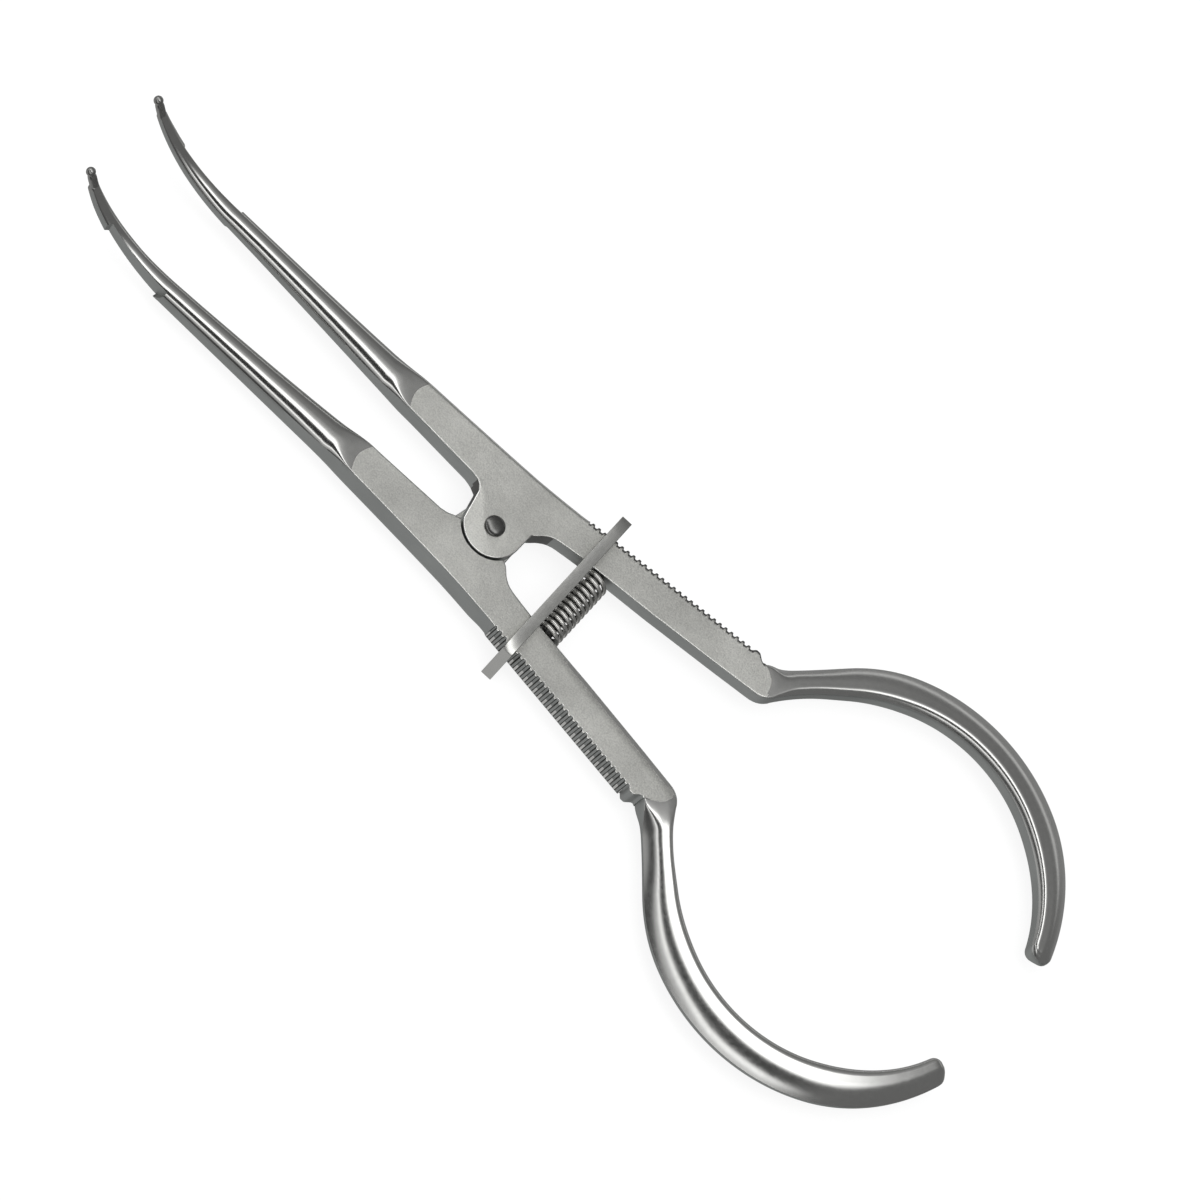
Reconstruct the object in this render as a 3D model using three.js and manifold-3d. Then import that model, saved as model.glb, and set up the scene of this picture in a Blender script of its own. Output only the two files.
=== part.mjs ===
// Sprung clamp forceps with two crossed arms, a sliding lock ring and a coil spring.
// Millimetres. The pivot axis is +Z through the origin, the jaws point along +X, and z = 0 is the
// flat underside of the lugs. Each arm is drawn on its own side of the X axis: "side" is the distance
// from that axis, +Y on the left arm and -Y on the right arm.
import * as THREE from "three";
import { mergeVertices } from "three/addons/utils/BufferGeometryUtils.js";
import Module from "manifold-3d";

const wasm = await Module();
wasm.setup();

// ---- driving dimensions ----
const TOP = 4.4; // flat top face of the arms
const LAP = TOP / 2; // plane where the two lugs meet
const LAP_GAP = 0.06; // from each lug face to that plane
const HANDLE_UNDER = 0.4; // underside of the handles, a little above the lugs' underside
const UNDER_RAMP = [-8.5, -5.5]; // the underside steps down between these two X
const CREST_END = 22; // the flat top ends here and the crest of the jaw starts to fall
const CREST_DROP = new THREE.Vector2(40, TOP - 0.75); // a point on the falling crest
const FAR = 60; // reach of a cutting block, past everything

const LUG_R = 4.6;
const RECESS_R = 5.0; // hollow that the other arm's lug turns in
const RECESS_FRONT = 0.474; // radians from +X to where the hollow starts
const RECESS_BACK = Math.PI - 0.48;
const LUG_FRONT = -0.529;
const RIVET_R = 1.25;
const RIVET_HOLE_R = 1.33;
const RIVET_HEAD_R = 1.55;
const RIVET_DOME = 0.6;
const RIVET_LIFT = 0.05; // under the head
const ROUND_SIDES = 48;

const TOOTH_PITCH = 1.01;
const TOOTH_COUNT = 28;
const TOOTH_DEPTH = 0.38;
const TOOTH_START = new THREE.Vector2(-10.0, 11.31); // crest of the first tooth
const CREST_SLOPE = 0.1188; // the handles spread this much for each mm toward the hooks

const BEND_X = 55; // the jaws start to curve up here
const BEND_R = 24;
const BEND_MID = TOP - 2.95; // mid-height of the jaw bar where the curve starts
const BEND_ANGLE = THREE.MathUtils.degToRad(46.5);
const BEND_STEPS = 14;
const JAW_THICK = 3.1; // where the curve starts
const JAW_TIP_THICK = 1.4; // where it ends
const PEG_R = 0.7;
const PEG_LENGTH = 3.64;
const PEG_SINK = 1.2; // how far it reaches back into the bar
const PEG_SIDE = 7.58;
const PEG_LEAN = THREE.MathUtils.degToRad(53.5);

const HOOK_START = new THREE.Vector2(-41.3, 11.8); // the hook's centreline starts inside the handle's end
const HOOK_LEAN = THREE.MathUtils.degToRad(44.3); // and runs outward, this far off the X axis' normal
const HOOK_STRAIGHT = 14.4;
const HOOK_R = 26.9;
const HOOK_SWEEP = THREE.MathUtils.degToRad(116);
const HOOK_STEPS = 30;
const HOOK_BEVEL = 0.7;
const HOOK_SUNK = 4; // the hook's solid starts this far along its centreline, inside the handle
const HOOK_SLIM = 3.63; // width at the root
const HOOK_FULL = 5.43; // round the finger
const HOOK_END = 3.73; // at the tip
const HOOK_SWELL = [4, 24]; // the width grows between these two lengths
const HOOK_FADE = [49.5, 72.5]; // and shrinks again between these two

const RING_X = -13.15; // middle of the ring, at half its height
const RING_PLATE = 1.7;
const RING_OUT = 13.8; // half length
const RING_BORDER_END = 1.9;
const RING_TOP = TOP + 2.8;
const RING_BOTTOM = TOP - 7.55;
const RING_BORDER = 2.0;
const RING_CORNER = 0.2;
const RING_WINDOW_CORNER = 0.4;
const RING_LEAN = THREE.MathUtils.degToRad(3.6);

const SPRING_X = -15.3;
const SPRING_Z = TOP - 2.0;
const SPRING_R = 2.1; // to the middle of the wire
const SPRING_WIRE_R = 0.33;
const SPRING_TURNS = 11.5;
const SPRING_HALF = 5.65; // half length, to the middle of the end turns
const SPRING_STEPS_PER_TURN = 10;
const SPRING_PEG_R = 1.05;
const SPRING_PEG_SIDES = 24;
const SPRING_PEG_TOP = 4.6; // side distance of a peg's free end
const SPRING_PEG_END = 8.2; // side distance of its set end, in the arm
const SOCKET_GAP = 0.1; // round and under a peg in its socket

// ---- solids ----
const solid = (geometry) => {
  const bare = geometry.clone();
  bare.deleteAttribute("normal");
  bare.deleteAttribute("uv");
  const merged = mergeVertices(bare, 1e-4);
  return new wasm.Manifold(
    new wasm.Mesh({
      numProp: 3,
      vertProperties: new Float32Array(merged.attributes.position.array),
      triVerts: new Uint32Array(merged.index.array),
    }),
  );
};

const toGeometry = (manifold) => {
  const mesh = manifold.getMesh();
  const geometry = new THREE.BufferGeometry();
  geometry.setAttribute("position", new THREE.BufferAttribute(mesh.vertProperties, 3));
  geometry.setIndex(new THREE.BufferAttribute(mesh.triVerts, 1));
  return geometry;
};

const slab = (shape, low, high, curveSegments = 12) => {
  const geometry = new THREE.ExtrudeGeometry(shape, { depth: high - low, bevelEnabled: false, curveSegments });
  geometry.translate(0, 0, low);
  return solid(geometry);
};

const post = (radius, low, high) => {
  const geometry = new THREE.CylinderGeometry(radius, radius, high - low, ROUND_SIDES);
  geometry.rotateX(Math.PI / 2);
  geometry.translate(0, 0, (low + high) / 2);
  return geometry;
};

const crestSide = (x) => TOOTH_START.y - CREST_SLOPE * (x - TOOTH_START.x);

// ---- arm outline, seen from above ----
// The strip runs from the jaw tip to the heel and is hollowed round the pivot for the other arm's lug.
// Points along the toothed outer edge, from the hook end to the pivot end.
const toothPoints = () => {
  const flat = 0.2 * TOOTH_PITCH;
  const points = [];
  for (let i = TOOTH_COUNT - 1; i >= 0; i -= 1) {
    const x = TOOTH_START.x - i * TOOTH_PITCH;
    points.push(new THREE.Vector2(x - 4 * flat, crestSide(x) - TOOTH_DEPTH));
    points.push(new THREE.Vector2(x - 2 * flat, crestSide(x) - TOOTH_DEPTH));
    points.push(new THREE.Vector2(x - flat, crestSide(x - flat)));
    points.push(new THREE.Vector2(x, crestSide(x)));
  }
  return points;
};

const stripShape = () => {
  const shape = new THREE.Shape();
  shape.moveTo(74.5, 7.0);
  shape.lineTo(64, 6.5);
  shape.lineTo(56, 6.2);
  shape.quadraticCurveTo(38.9, 5.43, 20.5, 4.07);
  shape.lineTo(18, 4.03);
  shape.lineTo(7.2, 3.65);
  const front = new THREE.Vector2(Math.cos(RECESS_FRONT), Math.sin(RECESS_FRONT)).multiplyScalar(RECESS_R);
  shape.quadraticCurveTo(5.4, 3.55, front.x, front.y);
  shape.absarc(0, 0, RECESS_R, RECESS_FRONT, RECESS_BACK, false);
  shape.quadraticCurveTo(-4.95, 4.6, -7.2, 5.05);
  shape.quadraticCurveTo(-9.5, 5.53, -12.0, 5.9);
  shape.lineTo(-24, 7.18);
  shape.lineTo(-43.8, 9.8);
  shape.lineTo(-48.2, 15.4);
  shape.lineTo(-45.4, 18.3);
  shape.quadraticCurveTo(-42.9, 14.4, -40.6, 14.0);
  shape.quadraticCurveTo(-39.6, 13.9, -39.2, 14.6);
  shape.quadraticCurveTo(-38.6, 15.0, -38.0, crestSide(-38.0) - TOOTH_DEPTH / 2);
  toothPoints().forEach((point) => shape.lineTo(point.x, point.y));
  shape.lineTo(-9.3, 11.05);
  shape.quadraticCurveTo(-1, 9.85, 20.4, 9.26);
  shape.quadraticCurveTo(22.5, 9.05, 26, 9.03);
  shape.lineTo(55.8, 9.03);
  shape.quadraticCurveTo(56.2, 8.5, 57.4, 8.42);
  shape.lineTo(66.7, 8.13);
  shape.lineTo(66.9, 8.66);
  shape.quadraticCurveTo(71.0, 8.6, 74.5, 7.9);
  shape.closePath();
  return shape;
};

const lugShape = () => {
  const shape = new THREE.Shape();
  shape.moveTo(6.8, 3.64);
  shape.quadraticCurveTo(5.35, 3.3, 4.9, 2.1);
  shape.lineTo(4.43, -0.1);
  shape.lineTo(LUG_R * Math.cos(LUG_FRONT), LUG_R * Math.sin(LUG_FRONT));
  shape.absarc(0, 0, LUG_R, LUG_FRONT, -Math.PI, true);
  shape.lineTo(-4.65, 2.7);
  shape.quadraticCurveTo(-4.9, 4.6, -7.2, 5.05);
  shape.lineTo(-7.2, 7.5);
  shape.lineTo(6.8, 7.5);
  shape.closePath();
  return shape;
};

// ---- arm profile, seen from the side ----
const jawThickness = (angle) => THREE.MathUtils.lerp(JAW_THICK, JAW_TIP_THICK, angle / BEND_ANGLE);

const bendPoint = (angle, off) => {
  const reach = BEND_R - off;
  return new THREE.Vector2(BEND_X + reach * Math.sin(angle), BEND_MID + BEND_R - reach * Math.cos(angle));
};

const profileShape = () => {
  const shape = new THREE.Shape();
  shape.moveTo(-FAR, HANDLE_UNDER);
  shape.lineTo(UNDER_RAMP[0], HANDLE_UNDER);
  shape.lineTo(UNDER_RAMP[1], 0);
  for (let i = 0; i <= BEND_STEPS; i += 1) {
    const angle = (BEND_ANGLE * i) / BEND_STEPS;
    const point = bendPoint(angle, -jawThickness(angle) / 2);
    shape.lineTo(point.x, point.y);
  }
  for (let i = BEND_STEPS; i >= 0; i -= 1) {
    const angle = (BEND_ANGLE * i) / BEND_STEPS;
    const point = bendPoint(angle, jawThickness(angle) / 2);
    shape.lineTo(point.x, point.y);
  }
  shape.lineTo(CREST_DROP.x, CREST_DROP.y);
  shape.lineTo(CREST_END, TOP);
  shape.lineTo(-FAR, TOP);
  shape.closePath();
  return shape;
};

const profileBlock = () => {
  const geometry = new THREE.ExtrudeGeometry(profileShape(), { depth: FAR, bevelEnabled: false });
  geometry.rotateX(Math.PI / 2);
  geometry.translate(0, FAR - 1, 0);
  return solid(geometry);
};

// ---- finger hook ----
// A point s mm along the centreline, first straight and then round the finger, and the outward normal there.
const hookCentre = (s) => {
  const bend = Math.max(0, s - HOOK_STRAIGHT) / HOOK_R;
  const normal = new THREE.Vector2(Math.cos(HOOK_LEAN + bend), Math.sin(HOOK_LEAN + bend));
  const lean = new THREE.Vector2(Math.cos(HOOK_LEAN), Math.sin(HOOK_LEAN));
  const along = new THREE.Vector2(-lean.y, lean.x);
  const point = HOOK_START.clone().addScaledVector(along, Math.min(s, HOOK_STRAIGHT));
  point.addScaledVector(lean, -HOOK_R).addScaledVector(normal, HOOK_R);
  return { point, normal };
};

const hookWidth = (s) => {
  const swell = THREE.MathUtils.smoothstep(s, ...HOOK_SWELL);
  const fade = THREE.MathUtils.smoothstep(s, ...HOOK_FADE);
  return HOOK_SLIM + (HOOK_FULL - HOOK_SLIM) * swell - (HOOK_FULL - HOOK_END) * fade;
};

const hookShape = () => {
  const end = HOOK_STRAIGHT + HOOK_R * HOOK_SWEEP;
  const outer = [];
  const inner = [];
  for (let i = 0; i <= HOOK_STEPS; i += 1) {
    const s = HOOK_SUNK + ((end - HOOK_SUNK) * i) / HOOK_STEPS;
    const { point, normal } = hookCentre(s);
    const half = hookWidth(s) / 2 - HOOK_BEVEL;
    outer.push(point.clone().addScaledVector(normal, half));
    inner.push(point.clone().addScaledVector(normal, -half));
  }
  const tip = hookCentre(end);
  const tipHalf = hookWidth(end) / 2 - HOOK_BEVEL;
  const tipAngle = Math.atan2(tip.normal.y, tip.normal.x);
  const shape = new THREE.Shape(outer);
  shape.absarc(tip.point.x, tip.point.y, tipHalf, tipAngle, tipAngle + Math.PI, false);
  inner.reverse().forEach((point) => shape.lineTo(point.x, point.y));
  shape.closePath();
  return shape;
};

const hookSolid = () => {
  const geometry = new THREE.ExtrudeGeometry(hookShape(), {
    depth: TOP - HANDLE_UNDER - 2 * HOOK_BEVEL,
    bevelEnabled: true,
    bevelThickness: HOOK_BEVEL,
    bevelSize: HOOK_BEVEL,
    bevelSegments: 2,
    curveSegments: 6,
  });
  geometry.translate(0, 0, HANDLE_UNDER + HOOK_BEVEL);
  return solid(geometry);
};

// ---- peg at the jaw tip, a little steeper than the end of the bend ----
const pegSolid = () => {
  const geometry = new THREE.CapsuleGeometry(PEG_R, PEG_LENGTH + PEG_SINK - 2 * PEG_R, 4, 12);
  geometry.rotateZ(-Math.PI / 2);
  geometry.translate((PEG_LENGTH - PEG_SINK) / 2, 0, 0);
  geometry.rotateY(-PEG_LEAN);
  const root = bendPoint(BEND_ANGLE, 0);
  geometry.translate(root.x, PEG_SIDE, root.y);
  return solid(geometry);
};

// A post on the spring's axis between two side distances. hand is 1 on the left arm and -1 on the right arm.
const springPost = (radius, low, high, hand) => {
  const geometry = new THREE.CylinderGeometry(radius, radius, high - low, SPRING_PEG_SIDES);
  geometry.translate(SPRING_X, (hand * (low + high)) / 2, SPRING_Z);
  return geometry;
};

// One arm, drawn with its side along +Y. lugLow and lugHigh bound its lug; the other arm's lug takes the rest.
const armSolid = (lugLow, lugHigh) => {
  const plan = slab(stripShape(), -FAR, FAR).add(slab(lugShape(), lugLow, lugHigh));
  return plan
    .intersect(profileBlock())
    .add(hookSolid())
    .add(pegSolid())
    .subtract(solid(post(RIVET_HOLE_R, -FAR, FAR)))
    .subtract(solid(springPost(SPRING_PEG_R + SOCKET_GAP, SPRING_PEG_TOP, SPRING_PEG_END + SOCKET_GAP, 1)));
};

// ---- materials ----
const steel = (color, roughness) => new THREE.MeshStandardMaterial({ color, roughness, metalness: 1.0 });

// ---- pieces ----
const armLeft = () => {
  const mesh = new THREE.Mesh(toGeometry(armSolid(-FAR, LAP - LAP_GAP)), steel(0xb4b4b2, 0.42));
  mesh.name = "arm_left";
  return mesh;
};

const armRight = () => {
  const geometry = toGeometry(armSolid(LAP + LAP_GAP, FAR));
  geometry.scale(1, -1, 1);
  const corners = geometry.index.array;
  for (let i = 0; i < corners.length; i += 3) {
    [corners[i], corners[i + 1]] = [corners[i + 1], corners[i]];
  }
  const mesh = new THREE.Mesh(geometry, steel(0xb4b4b2, 0.42));
  mesh.name = "arm_right";
  return mesh;
};

// The shank of the rivet ends flush with the underside of the lugs and its head is a low dome.
const pivotRivet = () => {
  const profile = [new THREE.Vector2(0, 0), new THREE.Vector2(RIVET_R, 0)];
  const rim = TOP + RIVET_LIFT;
  profile.push(new THREE.Vector2(RIVET_R, rim));
  const domeSteps = 4;
  for (let i = 0; i <= domeSteps; i += 1) {
    const angle = (Math.PI / 2) * (i / domeSteps);
    profile.push(new THREE.Vector2(RIVET_HEAD_R * Math.cos(angle), rim + 0.1 + RIVET_DOME * Math.sin(angle)));
  }
  profile.splice(3, 0, new THREE.Vector2(RIVET_HEAD_R, rim));
  profile[profile.length - 1].x = 0;
  const geometry = new THREE.LatheGeometry(profile, ROUND_SIDES);
  geometry.rotateX(Math.PI / 2);
  const mesh = new THREE.Mesh(geometry, steel(0x8d8d8c, 0.3));
  mesh.name = "pivot_rivet";
  return mesh;
};

class SpringWire extends THREE.Curve {
  getPoint(t, target = new THREE.Vector3()) {
    const angle = 2 * Math.PI * SPRING_TURNS * t;
    return target.set(
      SPRING_R * Math.cos(angle),
      SPRING_HALF * (2 * t - 1),
      SPRING_R * Math.sin(angle),
    );
  }
}

const spring = () => {
  const section = new THREE.Shape();
  section.absarc(0, 0, SPRING_WIRE_R, 0, 2 * Math.PI, false);
  const geometry = new THREE.ExtrudeGeometry(section, {
    extrudePath: new SpringWire(),
    steps: Math.round(SPRING_TURNS * SPRING_STEPS_PER_TURN),
    curveSegments: 4,
  });
  const mesh = new THREE.Mesh(geometry, steel(0xa8a8a6, 0.25));
  mesh.position.set(SPRING_X, 0, SPRING_Z);
  mesh.name = "spring";
  return mesh;
};

const springPeg = (name, hand) => {
  const geometry = springPost(SPRING_PEG_R, SPRING_PEG_TOP, SPRING_PEG_END, hand);
  const mesh = new THREE.Mesh(geometry, steel(0x9c9c9a, 0.35));
  mesh.name = name;
  return mesh;
};

// A box outline with round corners, drawn in the ring's own plane.
const roundBox = (Path, halfLength, low, high, corner) => {
  const path = new Path();
  const turn = Math.PI / 2;
  path.moveTo(halfLength - corner, low);
  path.absarc(halfLength - corner, low + corner, corner, -turn, 0, false);
  path.absarc(halfLength - corner, high - corner, corner, 0, turn, false);
  path.absarc(-halfLength + corner, high - corner, corner, turn, 2 * turn, false);
  path.absarc(-halfLength + corner, low + corner, corner, 2 * turn, 3 * turn, false);
  path.closePath();
  return path;
};

const lockRing = () => {
  const middle = (RING_TOP + RING_BOTTOM) / 2;
  const halfHeight = (RING_TOP - RING_BOTTOM) / 2;
  const shape = roundBox(THREE.Shape, RING_OUT, -halfHeight, halfHeight, RING_CORNER);
  shape.holes.push(
    roundBox(
      THREE.Path,
      RING_OUT - RING_BORDER_END,
      -halfHeight + RING_BORDER,
      halfHeight - RING_BORDER,
      RING_WINDOW_CORNER,
    ),
  );
  const geometry = new THREE.ExtrudeGeometry(shape, { depth: RING_PLATE, bevelEnabled: false, curveSegments: 3 });
  geometry.translate(0, 0, -RING_PLATE / 2);
  geometry.rotateX(Math.PI / 2);
  geometry.rotateZ(Math.PI / 2);
  const mesh = new THREE.Mesh(geometry, steel(0xa9aaa8, 0.4));
  mesh.position.set(RING_X, 0, middle);
  mesh.rotation.y = RING_LEAN;
  mesh.name = "lock_ring";
  return mesh;
};

const forceps = new THREE.Group();
forceps.add(armLeft());
forceps.add(armRight());
forceps.add(pivotRivet());
forceps.add(spring());
forceps.add(springPeg("spring_peg_left", 1));
forceps.add(springPeg("spring_peg_right", -1));
forceps.add(lockRing());

export default forceps;
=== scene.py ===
# Sprung clamp forceps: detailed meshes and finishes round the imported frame.
# Shapes are drawn in millimetres and scaled to metres when a mesh is made. Each arm is drawn on its own
# side of the X axis: "side" is the distance from that axis, and the right arm is the mirror image.
import math

import bmesh
import bpy
from mathutils import Matrix, Vector


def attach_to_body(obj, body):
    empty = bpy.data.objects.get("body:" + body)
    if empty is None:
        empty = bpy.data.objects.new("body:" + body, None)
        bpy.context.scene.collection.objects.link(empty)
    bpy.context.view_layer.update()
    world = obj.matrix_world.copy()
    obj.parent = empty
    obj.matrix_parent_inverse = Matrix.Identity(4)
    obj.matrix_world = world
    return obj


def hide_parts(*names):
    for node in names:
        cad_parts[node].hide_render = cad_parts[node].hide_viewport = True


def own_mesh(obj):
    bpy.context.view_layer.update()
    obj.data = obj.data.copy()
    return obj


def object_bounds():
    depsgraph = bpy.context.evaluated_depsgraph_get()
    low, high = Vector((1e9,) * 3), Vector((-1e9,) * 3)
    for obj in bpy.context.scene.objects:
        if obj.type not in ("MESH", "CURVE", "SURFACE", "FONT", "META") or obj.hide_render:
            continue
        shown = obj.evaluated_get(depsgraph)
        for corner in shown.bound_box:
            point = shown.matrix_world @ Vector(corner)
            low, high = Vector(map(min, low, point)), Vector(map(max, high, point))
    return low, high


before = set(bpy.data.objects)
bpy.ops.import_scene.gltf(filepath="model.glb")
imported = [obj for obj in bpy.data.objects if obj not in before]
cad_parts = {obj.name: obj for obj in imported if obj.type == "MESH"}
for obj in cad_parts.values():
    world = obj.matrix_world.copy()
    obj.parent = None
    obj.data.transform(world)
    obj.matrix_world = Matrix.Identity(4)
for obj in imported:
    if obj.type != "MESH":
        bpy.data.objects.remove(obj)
CAD_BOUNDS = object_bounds()

# ---- driving dimensions, in millimetres ----
MM = 0.001
QUARTER = math.pi / 2  # a quarter turn
UP = Vector((0, 0, 1))

TOP = 4.4  # flat top face of the arms
LAP = TOP / 2  # where the two lugs meet
LAP_GAP = 0.06  # left on each side of it
HANDLE_UNDER = 0.4  # underside of the handles and hooks
LUG_R = 4.6
RECESS_R = 5.0  # round recess for the other arm's lug
RIVET_HOLE_R = 1.33
RIVET_R = 1.25
RIVET_HEAD_R = 1.55
RIVET_LIFT = 0.05  # gap under its head
RIVET_DOME = 0.7

BEND_X = 55.0
BEND_R = 24.0
BEND_DROP = 2.95  # depth of the jaw's middle line under the top face where the bend starts
BEND_MID = TOP - BEND_DROP
BEND_ANGLE = math.radians(46.5)
JAW_THICK = 3.1
JAW_TIP_THICK = 1.4
PEG_R = 0.7
PEG_LENGTH = 3.64
PEG_SINK = 1.2  # how deep its stem goes into the jaw
PEG_SIDE = 7.58
PEG_LEAN = math.radians(53.5)

TOOTH_PITCH = 1.01
TOOTH_COUNT = 28
TOOTH_DEPTH = 0.38
TOOTH_X = -10.0  # crest of the first tooth
TOOTH_SIDE = 11.31
CREST_SLOPE = 0.1188

HEEL_INNER = Vector((-43.8, 9.8))
HEEL_OUTER = Vector((-40.5, 14.0))
HOOK_START = Vector((-41.3, 11.8))
HOOK_LEAN = math.radians(44.3)
HOOK_STRAIGHT = 14.4
HOOK_R = 26.9
HOOK_SWEEP = math.radians(116)
HOOK_LENGTH = HOOK_STRAIGHT + HOOK_R * HOOK_SWEEP
HOOK_SLIM = 3.63  # its width at the root, at its fullest and at its end
HOOK_FULL = 5.43
HOOK_END = 3.73

RING_X = -13.15
RING_PLATE = 1.7
RING_OUT = 13.8
RING_TOP = TOP + 2.8
RING_BOTTOM = TOP - 7.55
RING_BORDER = 2.0  # height of its long sides
RING_BORDER_END = 1.9  # width of its ends
RING_LEAN = math.radians(3.6)

SPRING_X = -15.3
SPRING_Z = TOP - 2.0
SPRING_R = 2.1
SPRING_WIRE_R = 0.33
SPRING_TURNS = 11.5
SPRING_HALF = 5.65
PEG_STUD_R = 1.05
PEG_STUD_ENDS = (4.6, 8.2)  # distances from the X axis
SOCKET_GAP = 0.1


def smoothstep(value, low, high):
    t = min(1.0, max(0.0, (value - low) / (high - low)))
    return t * t * (3 - 2 * t)


def lerp(a, b, t):
    return a + (b - a) * t


def steps_between(start, end, steps):
    """Even places from start on, with end left out."""
    return [lerp(start, end, i / steps) for i in range(steps)]


def along(value, stops, smooth=False):
    """The value on a line through (place, value) stops. A smooth line is level at each stop."""
    for (x0, y0), (x1, y1) in zip(stops, stops[1:]):
        if value <= x1:
            t = smoothstep(value, x0, x1) if smooth else max(0.0, (value - x0) / (x1 - x0))
            return lerp(y0, y1, t)
    return stops[-1][1]


# ---- mesh helpers ----
WELD = 0.0005 * MM  # points closer than this are merged
SMOOTH_ANGLE = math.radians(32)  # edges that turn by less than this are shaded smooth


def mesh_object(name, points, faces, mirror=False):
    """A mesh object from points in millimetres."""
    flip = -1 if mirror else 1
    order = [tuple(reversed(face)) for face in faces] if mirror else faces
    mesh = bpy.data.meshes.new(name)
    mesh.from_pydata([(x * MM, flip * y * MM, z * MM) for x, y, z in points], [], order)
    mesh.validate()
    obj = bpy.data.objects.new(name, mesh)
    bpy.context.scene.collection.objects.link(obj)
    return obj


def loft(name, rings, mirror=False):
    """A closed skin through rings that have the same number of points, with a flat face at each end."""
    count = len(rings[0])
    points = [point for ring in rings for point in ring]
    faces = [tuple(reversed(range(count)))]
    for i in range(len(rings) - 1):
        low, high = i * count, (i + 1) * count
        for j in range(count):
            k = (j + 1) % count
            faces.append((low + j, low + k, high + k, high + j))
    last = (len(rings) - 1) * count
    faces.append(tuple(range(last, last + count)))
    return mesh_object(name, points, faces, mirror)


def circle(radius, steps):
    """Points round a circle about the origin."""
    turns = [2 * math.pi * i / steps for i in range(steps)]
    return [(radius * math.cos(a), radius * math.sin(a)) for a in turns]


def lathe(name, profile, place, sides):
    """A profile of (radius, height) pairs turned round an axis. place(x, y, height) gives the point."""
    rings = [[place(x, y, height) for x, y in circle(radius, sides)] for radius, height in profile]
    return loft(name, rings)


def recalculate(obj):
    """Merges doubled points and turns every face outward."""
    bm = bmesh.new()
    bm.from_mesh(obj.data)
    bmesh.ops.remove_doubles(bm, verts=bm.verts, dist=WELD)
    bmesh.ops.dissolve_degenerate(bm, edges=bm.edges, dist=WELD)
    bmesh.ops.recalc_face_normals(bm, faces=bm.faces)
    bm.to_mesh(obj.data)
    bm.free()


def apply_modifiers(obj):
    depsgraph = bpy.context.evaluated_depsgraph_get()
    mesh = bpy.data.meshes.new_from_object(obj.evaluated_get(depsgraph))
    obj.modifiers.clear()
    obj.data = mesh


def boolean(obj, tool, operation):
    """Joins tool to obj or cuts it from obj. The tool is used up."""
    recalculate(tool)
    modifier = obj.modifiers.new(operation.lower(), "BOOLEAN")
    modifier.operation = operation
    modifier.solver = "MANIFOLD"
    modifier.object = tool
    apply_modifiers(obj)
    bpy.data.objects.remove(tool)


def shade(obj):
    mesh = obj.data
    mesh.polygons.foreach_set("use_smooth", [True] * len(mesh.polygons))
    mesh.set_sharp_from_angle(angle=SMOOTH_ANGLE)


# ---- arm rails ----
FIRST_GROOVE = TOOTH_X + TOOTH_PITCH / 2
LAST_GROOVE = TOOTH_X - (TOOTH_COUNT - 0.5) * TOOTH_PITCH
TOOTH_CROWN = 0.18  # share of a tooth's depth that its rounded crest takes up
TOOTH_FLANK = (0.22, 0.72)  # where its flank starts and ends, as shares of the way from crest to groove

OUTER_STOPS = [(-9.5, 11.22), (-9.1, 11.03), (-8, 10.87), (-6, 10.66), (-4, 10.46), (-2, 10.28)]
OUTER_STOPS += [(0, 10.12), (4, 9.92), (8, 9.74), (14, 9.5), (19, 9.32), (21, 9.22), (22.5, 9.12)]
OUTER_STOPS += [(24, 9.06), (26, 9.03), (57, 9.03), (61, 8.98), (66, 8.76), (70, 8.56), (73, 8.25)]

INNER_STOPS = [(-43.8, 9.8), (-36, 8.72), (-24, 7.18), (-12, 5.9), (-10, 5.6), (-8, 5.25), (-7, 4.95)]
INNER_STOPS += [(-6, 4.3), (-5, 3.2), (-4, 2.6), (4, 2.6), (5, 2.9), (6, 3.4), (7.2, 3.65), (18, 4.03)]
INNER_STOPS += [(20.5, 4.07), (24, 4.32), (30, 4.72), (36, 5.11), (44, 5.58), (50, 5.92), (56, 6.2)]
INNER_STOPS += [(64, 6.5), (73, 6.97)]


def crest_side(x):
    """The straight line through the crests of the teeth."""
    return TOOTH_SIDE - CREST_SLOPE * (x - TOOTH_X)


def groove_depth(x):
    """How far the edge lies inside the crest line: round-shouldered teeth and flat-bottomed grooves."""
    if not LAST_GROOVE <= x <= FIRST_GROOVE:
        return 0.0
    phase = (x - TOOTH_X) / TOOTH_PITCH
    wave = 0.5 - 0.5 * math.cos(2 * math.pi * phase)
    return TOOTH_DEPTH * (TOOTH_CROWN * wave + (1 - TOOTH_CROWN) * smoothstep(wave, *TOOTH_FLANK))


def outer_side(x):
    return along(x, OUTER_STOPS) if x > FIRST_GROOVE else crest_side(x)


def inner_side(x):
    return along(x, INNER_STOPS)


# ---- arm sections ----
TOP_STEPS = 26
ARC_STEPS = 6
FLAT_STEPS = TOP_STEPS - 2 * (ARC_STEPS + 1)
CROWN_ANGLE = math.radians(63)  # half the ellipse's arc that a crown takes up
FACET = (-0.55, -0.12)  # where a hook's even slope starts and ends, as shares of its half width
FACET_SLOPE = 0.3
FACET_STEPS = (8, 8, 10)  # steps round the ridge, down the slope and over the shoulder: TOP_STEPS in all
SUPPORT = 0.05  # distance from a rounded edge to the point that keeps the flat face flat
EASE_WIDTH = 1.5  # width of the worn strip along the inner edge of a handle
EASE_POWER = 1.4
WALL_SHARES = (1 / 3, 2 / 3)
UNDER_SHARES = (0.04, 0.35, 0.65, 0.96)
UNDER_CANT = 0.5  # how much higher the underside is at the inner edge than at the outer edge
ARM_UNDER = (0.8, 0.2)  # radii of the underside's inner and outer edges


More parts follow.
